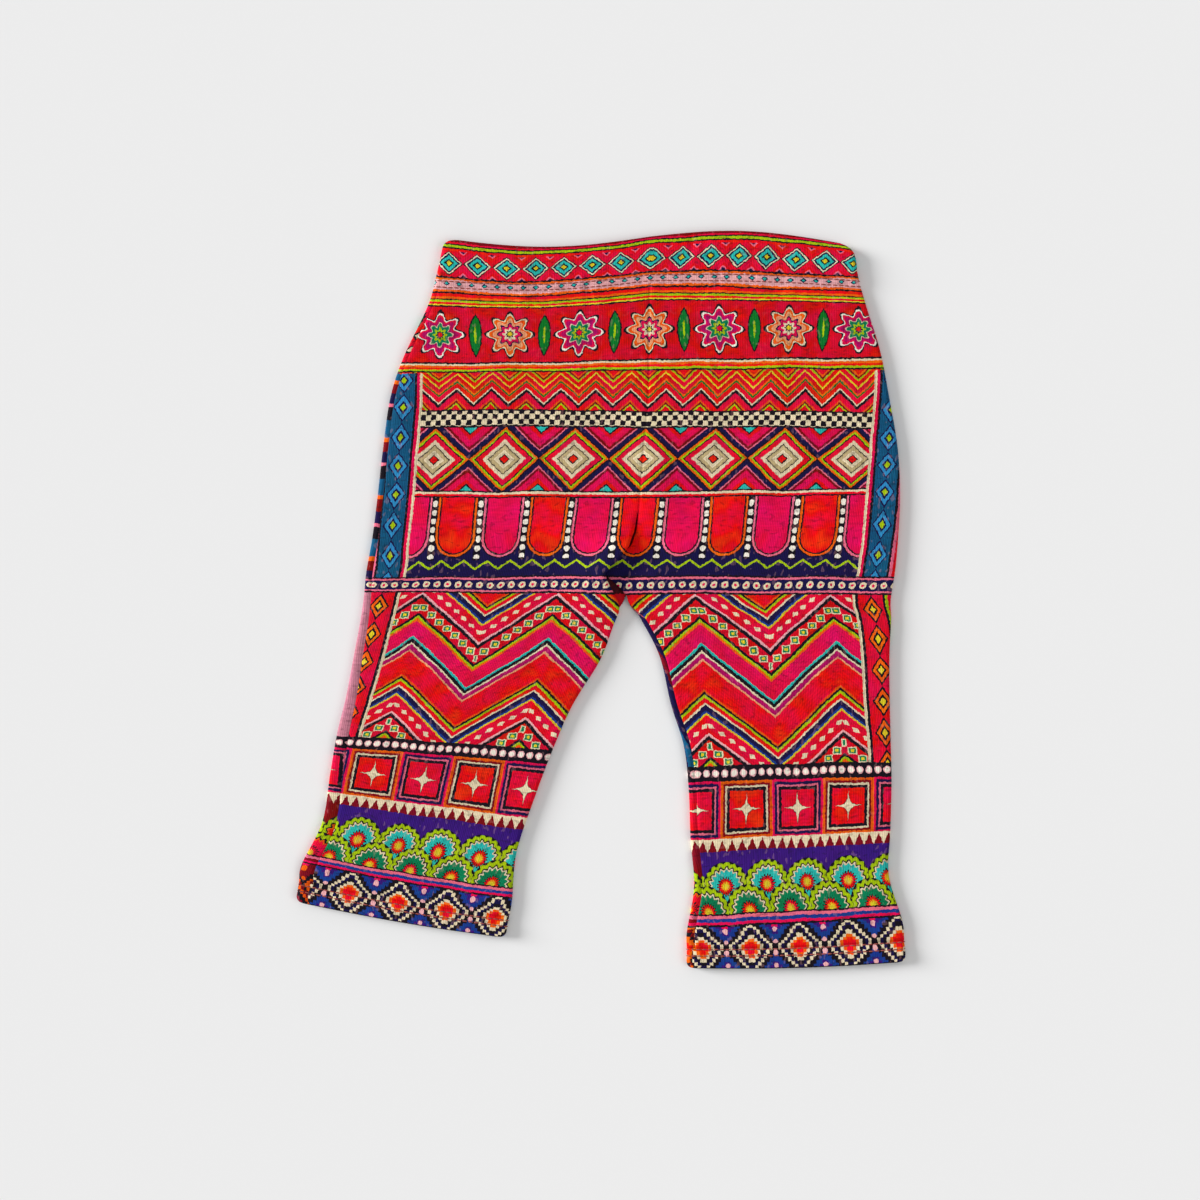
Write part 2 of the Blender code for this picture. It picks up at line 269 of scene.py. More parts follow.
shoulder = {"out": 1.6, "down": 7.5, "reach": 6.0}  # the right end of the casing bulges
innerTaper = 0.75  # the share of a leg's taper below the crotch that is cut from its inner edge


def mix(start, end, share):
    return start + (end - start) * share


def ramp(value, low, high):
    share = min(max((value - low) / (high - low), 0.0), 1.0)
    return share * share * (3.0 - 2.0 * share)


def sectionAt(leg, at):
    # the section at a place in the leg's list, on a smooth curve through its rows
    rows = leg["sections"]
    first = min(int(at), len(rows) - 2)
    share = at - first
    before, after = rows[max(first - 1, 0)], rows[min(first + 2, len(rows) - 1)]
    values = []
    for a, b, c, d in zip(before, rows[first], rows[first + 1], after):
        bend = (2 * a - 5 * b + 4 * c - d) * share + (3 * b - a - 3 * c + d) * share**2
        values.append(b + 0.5 * share * ((c - a) + bend))
    return Section(*values)


def measureLengths(leg):
    # how far down the cloth each section is: by the centre seam to the crotch, then by the middle
    # of the leg, drawn to the same length on both legs so that the print's tiers agree
    rows = leg["sections"]
    downs = [rows[0].innerY - row.innerY for row in rows[: crotchSection + 1]]
    middles = [
        Vector(((row.sideX + row.innerX) / 2, (row.sideY + row.innerY) / 2))
        for row in rows[crotchSection:]
    ]
    runs = [(b - a).length for a, b in zip(middles, middles[1:])]
    scale = (outseamLength - downs[-1]) / sum(runs)
    for run in runs:
        downs.append(downs[-1] + run * scale)
    leg["downs"] = downs
    crotch = rows[crotchSection]
    leg["crotchWidth"] = math.hypot(crotch.innerX - crotch.sideX, crotch.innerY - crotch.sideY)


def placeOf(leg, down):
    downs = leg["downs"]
    for index in range(len(downs) - 1):
        if down <= downs[index + 1] or index == len(downs) - 2:
            return index + (down - downs[index]) / (downs[index + 1] - downs[index])


def tuckAt(y):
    if y >= tuckRows[0].y:
        return tuckRows[0]
    for above, below in zip(tuckRows, tuckRows[1:]):
        if y >= below.y:
            share = (above.y - y) / (above.y - below.y)
            return Tuck(*(mix(a, b, share) for a, b in zip(above, below)))
    return tuckRows[-1]


def creaseHeight(x, y, creases):
    # the large folds and the small creases apart, because they fade differently near an edge
    large = small = 0.0
    for crease in creases:
        dx, dy = x - crease.x, y - crease.y
        if dx * dx + dy * dy > (creaseForm["reach"] * crease.length) ** 2:
            continue
        turn = math.radians(crease.heading)
        run = (dx * math.cos(turn) + dy * math.sin(turn)) / crease.length
        side = dy * math.cos(turn) - dx * math.sin(turn) - crease.bend * run * run
        side /= crease.width
        height = crease.height * math.exp(-run * run - side * side)
        if crease.width > creaseForm["largeWidth"]:
            large += height
        else:
            beside = side - creaseForm["valleyAt"]
            valley = creaseForm["valley"] * crease.height * math.exp(-run * run - beside**2)
            small += height - valley
    return large, small


class Row:
    # one row of points across a layer of a leg, `down` millimetres from the waist edge
    def __init__(self, leg, layer, down, edge, tucked=False, printDown=None):
        section = sectionAt(leg, placeOf(leg, down))
        self.layer, self.down, self.edge = layer, down, edge
        self.printDown = down if printDown is None else printDown
        self.bow = section.bow
        self.sideTurn = section.sideTurn * layer
        self.innerTurn = section.innerTurn * layer
        self.folded = ramp(section.innerY, *innerEdge["roll" if self.innerTurn < 0 else "draw"])
        self.lift = 0.0
        self.side = Vector((section.sideX, section.sideY))
        if leg is rightLeg:
            away = (down - shoulder["down"]) / shoulder["reach"]
            self.side.x += shoulder["out"] * math.exp(-away * away)
        inner = Vector((section.innerX, section.innerY))
        if tucked:
            tuck = tuckAt(section.innerY)
            inner.x += getattr(tuck, leg["tuckShift"])
            share = tuck.lift / tuckForm["topLift"]
            if leg is leftLeg:
                self.lift = tuck.lift
                self.folded = max(self.folded, tuck.roll)
                self.innerTurn -= tuckForm["curl"] * share
            else:
                self.lift = -tuckForm["flapDip"] * share
        untucked = section.innerX - section.sideX, section.innerY - section.sideY
        untucked = math.hypot(*untucked)
        # the print's columns run straight down the cloth, so the leg's taper cuts into them
        taper = 0.0
        if down > leg["downs"][crotchSection]:
            taper = max(leg["crotchWidth"] - untucked, 0.0)
        self.sideColumn = untucked + innerTaper * taper
        self.width = (inner - self.side).length
        self.innerColumn = self.sideColumn - self.width
        self.across = (inner - self.side) / self.width
        up = Vector((-self.across.y, self.across.x))
        self.up = up if up.y > 0 else -up
        self.mirror = 1.0 if leg is leftLeg else -1.0

    def roundCorners(self, away, radius, bothEnds):
        # a row this near to a band's edge stops short of the band's rounded corners
        if away >= radius:
            return
        inset = radius - math.sqrt(radius**2 - (radius - away) ** 2)
        self.side += self.across * inset
        self.sideColumn -= inset
        self.width -= inset
        if bothEnds:
            self.width -= inset
            self.innerColumn += inset

    def spot(self, inward, height, column):
        share = min(max(inward / self.width, 0.0), 1.0)
        point = self.side + self.across * inward + self.up * self.bow * math.sin(math.pi * share)
        height += self.loft(point, inward, height, column)
        place = Vector((point.x, point.y, height)) * millimetre
        return place, (column * millimetre, self.printDown * millimetre)

    def loft(self, point, inward, height, column):
        # how far the cloth stands off its flat place here
        fromInner = self.width - inward
        onFront = height > self.edge
        large, small = creaseHeight(point.x, point.y, frontCreases if onFront else backCreases)
        fades = []
        for reach in (jersey["largeFade"], jersey["smallFade"]):
            innerFade = mix(1.0, ramp(fromInner, self.edge, reach), self.folded)
            fades.append(ramp(inward, self.edge, reach) * innerFade)
        spread = jersey["unevenSpan"]
        apart = self.layer * jersey["layersApart"]
        wave = noise.noise(Vector((point.x / spread, point.y / spread, apart)))
        across = self.mirror * column / gather["span"]
        place = across, gather["noiseAt"] + self.layer, self.down / gather["drift"]
        ripple = noise.noise(Vector(place))
        below = max(self.down - gather["fadeFrom"], 0.0) / gather["reach"]
        gathered = math.exp(-below) * ramp(self.down, *gather["grow"])
        wave = wave * jersey["unevenness"] + ripple * gathered * gather["height"]
        wave += self.pucker(column)
        if not onFront:  # the back lies on the surface, and only rises from it
            small = abs(small) + jersey["backShare"] * abs(wave)
            return large * fades[0] + small * fades[1]
        bulge = self.lift * math.exp(-((fromInner / tuckForm["reach"]) ** 2))
        return large * fades[0] + (small + wave) * fades[1] + bulge

    def pucker(self, column):
        # small ripples beside the rows of stitches
        total = 0.0
        apart = self.layer * pucker["layersApart"]
        for seam in pucker["seams"]:
            away = (self.down - seam["down"]) / seam["reach"]
            if abs(away) < pucker["within"]:
                across = self.mirror * column / seam["span"]
                wave = noise.noise(Vector((across, seam["down"], apart)))
                total += pucker["height"] * wave * math.exp(-away * away)
        return total

    def roundEdge(self, run, radius):
        # distance in from an edge, and height, this far past the middle of the edge's fold
        quarter = math.pi * radius / 2
        if abs(run) > quarter:
            side = self.layer if run > 0 else -self.layer
            return self.edge + abs(run) - quarter, self.edge + side * radius
        turn = run / radius
        return self.edge - radius * math.cos(turn), self.edge + self.layer * radius * math.sin(turn)

    def edgeRuns(self, turn, radius):
        # from a panel's cut edge, which may lie beyond the fold, to the flat cloth beside the edge
        quarter = math.pi * radius / 2
        if turn > 0:
            return [turn + away for away in edgeSteps["flat"]]
        runs = [mix(turn, -quarter, share) for share in edgeSteps["toFold"]]
        runs += [quarter * share for share in edgeSteps["round"]]
        return runs + [quarter + away for away in edgeSteps["past"]]

    def seamDip(self, past):
        return jersey["seamDip"] * math.exp(-((past / jersey["seamWidth"]) ** 2))

    def joined(self, spots, endSpots, count):
        # points from edge to edge, with so many between on the flat cloth
        start, end = spots[-1], endSpots[0]
        for step in range(1, count + 1):
            share = step / (count + 1)
            spots.append(tuple(mix(a, b, share) for a, b in zip(start, end)))
        return [self.spot(*spot) for spot in spots + endSpots]

    def panelSpots(self):
        # inward distance, height and print column of each point, from side seam to inner seam
        radius = self.edge - jersey["wall"] / 2
        quarter = math.pi * radius / 2
        outer = self.sideColumn - self.edge
        spots = []
        for run in self.edgeRuns(self.sideTurn, radius):
            face = radius - self.seamDip(run - self.sideTurn)
            spots.append((*self.roundEdge(run, face), outer + quarter - run))
        innerSpots = []
        for run in self.edgeRuns(self.innerTurn, radius):
            past = run - self.innerTurn
            face = radius - self.seamDip(past)
            inward, height = self.roundEdge(run, face)
            inward = mix(past, inward, self.folded)
            height = mix(self.edge + self.layer * face, height, self.folded)
            column = self.innerColumn + mix(past, self.edge + run - quarter, self.folded)
            innerSpots.append((self.width - inward, height, column))
        return self.joined(spots, innerSpots[::-1], jersey["flatColumns"])

    def seamSpots(self, turn):
        # beside a seam that has turned onto this face: distances in, and shares of the seam's dip
        if turn <= sideSeam["leastTurn"]:
            return []
        middle = self.edge + turn - math.pi * self.edge / 2
        return [(middle + away, share) for away, share in sideSeam["spots"]]

    def bandSpots(self, radius, flatColumns, throughInner):
        # from the middle of the side edge to the centre seam, or on round the inner edge
        edgeSpots = []
        for share in bandEdge["arc"]:
            turn = math.pi / 2 * share
            inward = self.edge - radius * math.cos(turn)
            edgeSpots.append((inward, self.edge + self.layer * radius * math.sin(turn), turn))
        outer = self.sideColumn - self.edge
        quarter = math.pi / 2
        spots = [(a, b, outer + radius * (quarter - turn)) for a, b, turn in edgeSpots]
        flatHeight = edgeSpots[-1][1]
        dip = self.layer * jersey["seamDip"] * ramp(radius, *sideSeam["radius"])
        for inward, share in self.seamSpots(self.sideTurn):
            spots.append((inward, flatHeight - dip * share, self.sideColumn - inward))
        endSpots = [(self.width, flatHeight, self.innerColumn)]
        if throughInner:
            endSpots = [
                (self.width - a, b, self.innerColumn + self.edge - radius * (quarter - turn))
                for a, b, turn in reversed(edgeSpots)
            ]
            endSpots = [
                (self.width - inward, flatHeight - dip * share, self.innerColumn + inward)
                for inward, share in reversed(self.seamSpots(self.innerTurn))
            ] + endSpots
        return self.joined(spots, endSpots, flatColumns)


def legPanelRows(leg, layer):
    downs = leg["downs"]
    top, bottom = downs[casingSeam], downs[hemSeam]
    count = round((bottom - top) / jersey["step"])
    rows = []
    for step in range(count + 1):
        down = mix(top, bottom, step / count)
        row = Row(leg, layer, down, jersey["edge"], tucked=layer == front)
        rows.append(row.panelSpots())
    return rows


def stitchDip(down, rows):
    return sum(stitch["dip"] * math.exp(-(((down - at) / stitch["dipWidth"]) ** 2)) for at in rows)


def bandProfile(settings, depth):
    # the band's cross-section: up its outer face, over its edge and back along its inner face.
    # Each entry is (distance from the band's edge, edge radius there, radius of the face, and how
    # far the printed cloth has run past the band's edge).
    low, high = settings["slope"]
    thick = settings["edge"] - settings["hollow"]
    roll = thick / 2
    steps, rollSteps = settings["depthSteps"], bandEdge["rollSteps"]
    innerSteps = bandEdge["innerSteps"]
    profile = []
    for step in range(steps + 1):
        away = mix(depth, roll, step / steps)
        edge = mix(settings["edge"], jersey["edge"], ramp(away, low, high))
        profile.append((away, edge, edge - stitchDip(away, settings["stitchRows"]), -away))
    for step in range(1, rollSteps):
        turn = math.pi * step / rollSteps
        away = roll - roll * math.sin(turn)
        face = settings["hollow"] + roll + roll * math.cos(turn)
        profile.append((away, settings["edge"], face, roll * (turn - 1.0)))
    for step in range(innerSteps + 1):
        away = mix(roll, depth, step / innerSteps)
        edge = mix(settings["edge"], jersey["edge"], ramp(away, low, high))
        profile.append((away, edge, settings["hollow"], roll * (math.pi - 2.0) + away))
    return profile + profile[:1]


def casingRing(down, edge, face, printDown=None):
    quarters = {}
    for leg in (leftLeg, rightLeg):
        for layer in (front, back):
            row = Row(leg, layer, down, edge, printDown=printDown)
            row.roundCorners(down, leg["waistCorner"], bothEnds=False)
            spots = row.bandSpots(face, waistCasing["flatColumns"], throughInner=False)
            quarters[leg["tuckShift"], layer] = spots
    left, right = leftLeg["tuckShift"], rightLeg["tuckShift"]
    frontSpots = quarters[left, front] + quarters[right, front][-2::-1]
    return frontSpots + quarters[right, back][1:] + quarters[left, back][-2::-1]


def hemRing(leg, down, edge, face, printDown=None):
    layers = []
    for layer in (front, back):
        row = Row(leg, layer, down, edge, printDown=printDown)
        row.roundCorners(outseamLength - down, hem["corner"], bothEnds=True)
        layers.append(row.bandSpots(face, hem["flatColumns"], throughInner=True))
    return layers[0] + layers[1][-2::-1]


def hemCloths(leg):
    # 0 for each strip of the hem's ring that is front panel, 1 for back panel, beyond the seams
    down = outseamLength - hem["corner"]
    row = Row(leg, front, down, hem["edge"])
    columns = [spot[1][0] / millimetre for spot in hemRing(leg, down, hem["edge"], hem["edge"])]
    half = len(columns) // 2
    cloths = []
    for index in range(len(columns) - 1):
        column = (columns[index] + columns[index + 1]) / 2
        fromSide, fromInner = columns[0] - column, column - min(columns)
        if index < half:
            isFront = fromSide > row.sideTurn and fromInner > row.innerTurn
        else:
            isFront = fromSide < -row.sideTurn or fromInner < -row.innerTurn
        cloths.append(0 if isFront else 1)
    return cloths


def casingRows():
    depth = leftLeg["downs"][casingSeam]
    profile = bandProfile(waistCasing, depth)
    return [casingRing(away, edge, face, -past) for away, edge, face, past in profile]


def hemRows(leg):
    depth = outseamLength - leg["downs"][hemSeam]
    profile = bandProfile(hem, depth)
    return [
        hemRing(leg, outseamLength - away, edge, face, outseamLength + past)
        for away, edge, face, past in profile
    ]


def makePiece(name, shape, materials):
    mesh = bpy.data.meshes.new(name)
    shape.to_mesh(mesh)
    shape.free()
    mesh.shade_smooth()
    for material in materials:
        mesh.materials.append(material)
    piece = bpy.data.objects.new(name, mesh)
    bpy.context.scene.collection.objects.link(piece)
    return piece


def layCloth(name, rows, materials, layer=None, cloths=None):
    # a grid of cloth laid on rows of points, with its print map; a band's ends are joined
    across, down = len(rows[0]) - 1, len(rows) - 1
    cloth = bmesh.new()
    bmesh.ops.create_grid(cloth, x_segments=across, y_segments=down, size=1.0)
    printMap = cloth.loops.layers.uv.new("print")
    spots = {}
    for face in cloth.faces if cloths else ():
        middle = face.calc_center_median()
        face.material_index = cloths[int((middle.x + 1.0) / 2.0 * across)]
    for vertex in cloth.verts:
        column = round((vertex.co.x + 1.0) / 2.0 * across)
        row = round((vertex.co.y + 1.0) / 2.0 * down)
        spots[vertex] = rows[row][column]
    for face in cloth.faces:
        for corner in face.loops:
            corner[printMap].uv = spots[corner.vert][1]
    for vertex, (place, _) in spots.items():
        vertex.co = place
    bmesh.ops.remove_doubles(cloth, verts=cloth.verts, dist=0.002 * millimetre)
    if layer is None:
        bmesh.ops.recalc_face_normals(cloth, faces=cloth.faces)
    else:
        cloth.normal_update()
        if sum(face.normal.z for face in cloth.faces) * layer < 0:
            bmesh.ops.reverse_faces(cloth, faces=cloth.faces)
    piece = makePiece(name, cloth, materials)
    if layer is not None:
        wall = piece.modifiers.new("wall", "SOLIDIFY")
        wall.thickness = jersey["wall"] * millimetre
        wall.offset = 0.0
        wall.use_quality_normals = True
        wall.material_offset = 1
    return piece


def sewRow(threads, ring, nextRing, outward):
    # stitches along a row of points, lying on the cloth; outward points away from the body
    points = [spot[0] for spot in ring]
    others = [spot[0] for spot in nextRing]
    length, width = stitch["length"], stitch["width"]
    size = Matrix.Diagonal((length / 2, width / 2, width / 2, 1.0))
    size = Matrix.Scale(millimetre, 4) @ size @ Matrix.Rotation(math.pi / 2, 4, "Y")
    segments, rings = stitch["segments"]
    pitch, travelled, due = stitch["pitch"] * millimetre, 0.0, 0.0
    for index in range(len(points) - 1):
        start, end = points[index], points[index + 1]
        step = (end - start).length
        while due < travelled + step and step > 0:
            place = start.lerp(end, (due - travelled) / step)
            along = (end - start).normalized()
            downward = (others[index] - start).normalized()
            normal = along.cross(downward).normalized() * outward
            sideways = normal.cross(along)
            turn = Matrix((along, sideways, normal)).transposed().to_4x4()
            place = place + normal * stitch["proud"] * millimetre
            lowest = (abs(along.z) * length + width) / 2 * millimetre
            place.z = max(place.z, lowest)  # above the surface
            bmesh.ops.create_uvsphere(
                threads,
                u_segments=segments,
                v_segments=rings,
                radius=1.0,
                matrix=Matrix.Translation(place) @ turn @ size,
            )
            due += pitch
        travelled += step


def makeThreads(name, rings, material):
    threads = bmesh.new()
    for ring, nextRing, outward in rings:
        sewRow(threads, ring, nextRing, outward)
    bmesh.ops.recalc_face_normals(threads, faces=threads.faces)
    return makePiece(name, threads, [material])


# ---- materials

tones = {
    "scarlet": "#e4000c",
    "red": "#d5021c",
    "crimson": "#e2022e",
    "darkRed": "#7a0512",
    "pink": "#e27389",
    "palePink": "#e7adb0",
    "rose": "#bd7d8d",
    "hotPink": "#e0024c",
    "magenta": "#b00a5e",
    "purple": "#3c2072",
    "navy": "#181240",
    "blue": "#263f85",
    "skyBlue": "#3f86b8",
    "teal": "#1f5579",
    "turquoise": "#3bb5ab",
    "emerald": "#0c7a4e",
    "green": "#17702c",
    "lime": "#a3bd2b",
    "yellow": "#dcc743",
    "orange": "#e8642a",
    "peach": "#e59f76",
    "cream": "#dfcfae",
    "gold": "#bfab80",
    "white": "#ece5d6",
    "black": "#120b16",
}


def tone(name):
    # linear colour of a named tone
    code = tones[name].lstrip("#")
    channels = [int(code[at : at + 2], 16) / 255 for at in (0, 2, 4)]
    linear = [c / 12.92 if c <= 0.04045 else ((c + 0.055) / 1.055) ** 2.4 for c in channels]
    return (*linear, 1.0)


class Signal:
    # a socket that Python arithmetic adds Math nodes to
    def __init__(self, graph, socket):
        self.graph, self.socket = graph, socket

    def math(self, operation, *others):
        values = dict(enumerate((self, *others)))
        return self.graph.add("ShaderNodeMath", {"operation": operation}, values)

    def __add__(self, other):
        return self.math("ADD", other)

    def __sub__(self, other):
        return self.math("SUBTRACT", other)

    def __mul__(self, other):
        return self.math("MULTIPLY", other)

    def __truediv__(self, other):
        return self.math("DIVIDE", other)

    def __rsub__(self, other):
        return self.graph.add("ShaderNodeMath", {"operation": "SUBTRACT"}, {0: other, 1: self})

    def __rtruediv__(self, other):
        return self.graph.add("ShaderNodeMath", {"operation": "DIVIDE"}, {0: other, 1: self})

    def __gt__(self, other):
        return self.math("GREATER_THAN", other)

    def __lt__(self, other):
        return self.math("LESS_THAN", other)

    def __abs__(self):
        return self.math("ABSOLUTE")

    __radd__ = __add__
    __rmul__ = __mul__

    def fold(self, half):  # distance from the nearest motif's middle, motifs 2 half apart
        return self.math("PINGPONG", half)

    def cell(self, width):  # signed distance from the nearest motif's middle
        return self.math("WRAP", width / 2, -width / 2)

    def odd(self, width):  # 1 in every second cell
        return self.math("WRAP", width * 1.5, -width / 2) > width / 2


class Graph:
    def __init__(self, name):
        self.material = bpy.data.materials.new(name)
        self.material.use_nodes = True
        self.tree = self.material.node_tree
        self.shader = self.tree.nodes["Principled BSDF"]

    def add(self, kind, settings, sockets, output=0):
        node = self.tree.nodes.new(kind)
        for name, value in settings.items():
            if name == "stops":
                self.setStops(node.color_ramp, value)
            else:
                setattr(node, name, value)
        self.feed(node, sockets)
        return Signal(self, node.outputs[output])

    def feed(self, node, sockets):
        for key, value in sockets.items():
            if isinstance(value, Signal):
                self.tree.links.new(value.socket, node.inputs[key])
            else:
                node.inputs[key].default_value = value

    def setStops(self, colorRamp, stops):
        colorRamp.interpolation = "CONSTANT"
        while len(colorRamp.elements) > 1:
            colorRamp.elements.remove(colorRamp.elements[-1])
        colorRamp.elements[0].position = stops[0][0]
        colorRamp.elements[0].color = stops[0][1]
        for position, colour in stops[1:]:
            colorRamp.elements.new(position).color = colour

    def bands(self, value, span, stops, thread=0.0):
        # a stripe of each tone from where it starts, over a span of the value. A thread draws
        # dark rows that far apart along the stripes.
        table = [(start / span, tone(name)) for start, name in stops]
        colour = self.add("ShaderNodeValToRGB", {"stops": table}, {0: value / span})
        if not thread:
            return colour
        groove = (value * (math.tau / thread)).math("SINE") * 0.1 + 0.1
        return self.over(colour, "black", groove)

    def over(self, ground, paint, mask):
        ground, paint = (tone(c) if isinstance(c, str) else c for c in (ground, paint))
        return self.add("ShaderNodeMix", {"data_type": "RGBA"}, {0: mask, 6: ground, 7: paint}, 2)

    def vector(self, operation, *values):
        return self.add("ShaderNodeVectorMath", {"operation": operation}, dict(enumerate(values)))

    def split(self, vector):
        first = self.add("ShaderNodeSeparateXYZ", {}, {0: vector})
        return [Signal(self, output) for output in first.socket.node.outputs]

    def distance(self, x, y):
        square = self.add("ShaderNodeCombineXYZ", {}, {0: x, 1: y})
        return self.add("ShaderNodeVectorMath", {"operation": "LENGTH"}, {0: square}, "Value")


# the print's tiers: where each starts, in millimetres down the cloth from the waist edge
tierStarts = {
    "casingLozenges": 6.4, "casingBand": 16.8, "hipStripes": 24.4, "rosettes": 31.6,
    "lowHipStripes": 59.6, "zigzags": 65.4, "checks": 85.2, "lozenges": 93.6,
    "tongueStripes": 123.8, "tongues": 127.4, "beads": 165.0, "chevrons": 174.4,
    "beadEdging": 251.2, "patches": 258.0, "teeth": 282.6, "fans": 288.0,
    "borderStripes": 314.4, "hemDiamonds": 320.2, "hemEdge": 339.0,
}

# the tones of its stripes and motifs: how far they reach, then each tone with where it starts, in
# millimetres or in shares of a motif's size. A name that is no tone is looked up in the border.
printTones = {
    "casingStripes": (8.0, "0 darkRed, 1.7 crimson, 2.6 black, 3.4 lime, 4.6 black, 5.3 scarlet"),
    "casingLozenges": (
        2.0,
        "0 yellow, 0.2 black, 0.34 turquoise, 0.62 navy, 0.78 cream, 0.9 black, 1 crimson, "
        "1.5 scarlet, 1.72 pink, 1.86 navy",
    ),
    "casingBand": (8.0, "0 black, 0.7 orange, 1.5 palePink, 6.1 orange, 6.9 black"),
    "casingKnot": (1.0, "0 turquoise, 0.55 navy"),
    "hipStripes": (
        7.2, "0 scarlet, 1.3 orange, 2.4 black, 3.1 lime, 4.3 scarlet, 5.6 yellow, 6.4 black",
    ),
    "firstRosette": (
        16.0,
        "0 yellow, 1.3 black, 2.1 cream, 3.6 hotPink, 5.4 navy, 6.4 peach, 8.6 orange, "
        "10.4 cream, 11.4 black, 12.6 red",
    ),
    "secondRosette": (
        16.0,
        "0 scarlet, 1.3 navy, 2.1 lime, 3.6 emerald, 5.8 cream, 6.4 magenta, 8.8 hotPink, "
        "10.4 white, 11.4 black, 12.6 red",
    ),
    "leaf": (1.0, "0 lime, 0.16 green, 0.8 black"),
    "lowHipStripes": (6.4, "0 black, 0.9 cream, 1.8 orange, 2.9 scarlet, 4 lime, 5 black"),
    "zigzags": (
        30.0,
        "0 scarlet, 2.6 orange, 3.7 darkRed, 4.7 lime, 5.8 scarlet, 8.4 yellow, 9.3 red, "
        "11.8 orange, 12.8 green, 13.8 scarlet, 16.6 cream, 17.4 black, 19 crimson, "
        "22.4 orange, 23.4 darkRed, 24.4 lime, 25.4 scarlet",
    ),
    "lozenges": (
        2.0,
        "0 scarlet, 0.12 black, 0.17 cream, 0.3 gold, 0.44 black, 0.48 cream, 0.62 crimson, "
        "0.8 black, 0.85 lime, 0.92 orange, 0.99 black, 1.05 navy, 1.22 pink, 1.28 darkRed, "
        "1.38 hotPink, 1.62 scarlet, 1.76 black, 1.82 turquoise",
    ),
    "tongueStripes": (4.0, "0 black, 0.7 cream, 1.8 scarlet, 2.9 black"),
    "firstTongue": (12.0, "0 scarlet, 7.6 black, 8.3 orange, 9.3 black"),
    "secondTongue": (12.0, "0 hotPink, 7.6 black, 8.3 pink, 9.3 black"),
    "beads": (9.6, "0 black, 0.8 pink, 1.8 navy, 7.4 pink, 8.4 black"),
    "pinkBead": (2.0, "0 hotPink, 0.7 cream"),
    "chevrons": (
        62.0,
        "0 scarlet, 8.4 orange, 9.4 black, 10.6 lime, 11.8 scarlet, 14 cream, 14.9 navy, "
        "17.2 blue, 18.6 yellow, 19.6 crimson, 28 palePink, 29.2 black, 31.2 red, 38.6 black, "
        "40 lime, 41.2 orange, 42.6 hotPink, 50.4 turquoise, 51.6 black, 53.6 cream, "
        "54.6 magenta, 57 peach, 58 scarlet",
    ),
    "stone": (1.0, "0 yellow, 0.35 emerald, 0.7 cream"),
    "upperTrim": (
        30.0, "0 cream, 1.2 hotPink, 2.6 black, 3.8 teal, 14.8 black, 16 pink, 17.4 scarlet",
    ),
    "upperKnot": (1.0, "0 lime, 0.28 navy, 0.5 skyBlue, 0.84 navy"),
    "lowerTrim": (30.0, "0 cream, 1.2 black, 2.6 crimson, 14.8 black, 16 lime, 17.2 crimson"),
    "lowerKnot": (1.0, "0 yellow, 0.28 black, 0.5 orange, 0.8 black"),
    "whiteBead": (2.0, "0 white, 1.2 palePink"),
    "firstPatch": (13.0, "0 scarlet, 8 black, 9.4 cream, 10.2 darkRed, 11.2 orange"),
    "secondPatch": (13.0, "0 crimson, 8 black, 9.4 pink, 10.2 navy, 11.4 hotPink"),
    "star": (3.4, "0 cream, 2.4 black"),
    "fan": (
        13.0,
        "0 yellow, 1.6 scarlet, 3 black, 3.8 rim, 6.8 edging, 7.6 black, 8.3 lime, 10.2 black",
    ),
    "borderStripes": (6.0, "0 black, 0.7 pink, 2 stripe, 3.6 hotPink, 4.8 black"),
    "hemDiamonds": (
        14.0,
        "0 scarlet, 1 orange, 2 edging, 3 line, 4 inner, 5 edging, 6 palePink, 7 line, "
        "8 outer, 9 stripe, 10 gusset, 12 hotPink, 13 line",
    ),
}

# the tones of the border above the hem, and of what lies beside the seams
frontBorder = {
    "shift": 0.0,  # of the whole print, sideways
    "ground": "purple", "upperRim": "turquoise", "lowerRim": "emerald", "stripe": "blue",
    "inner": "navy", "outer": "blue", "gusset": "purple", "edging": "cream", "line": "black",
    "dots": "palePink", "upperBlocks": (28.0, "0 scarlet"), "lowerBlocks": (28.0, "0 crimson"),
}
backBorder = {
    "shift": 8.0,
    "ground": "darkRed", "upperRim": "scarlet", "lowerRim": "crimson", "stripe": "darkRed",
    "inner": "darkRed", "outer": "darkRed", "gusset": "darkRed", "edging": "orange",
    "line": "black", "dots": "orange", "lowerBlocks": (28.0, "0 rose"),
    # the blocks past the outer trim, on the left leg's outer edge: dark tones like the print's
    # there, and partly painted shade on this rim, which faces the low sun
    "upperBlocks": (28.0, "0 black, 6 teal, 14 orange, 16 darkRed, 21 navy, 26.4 pink"),
    # stripes beside the inner seam: mostly navy, tones like the print's there, and partly painted
    # shade on the inner rim, which faces the low sun on the right leg
    "inseam": (
        34.0,
        "0 navy, 9 pink, 10.5 navy, 18 darkRed, 20 navy, 26 teal, 28 navy, 31 magenta",
    ),
}


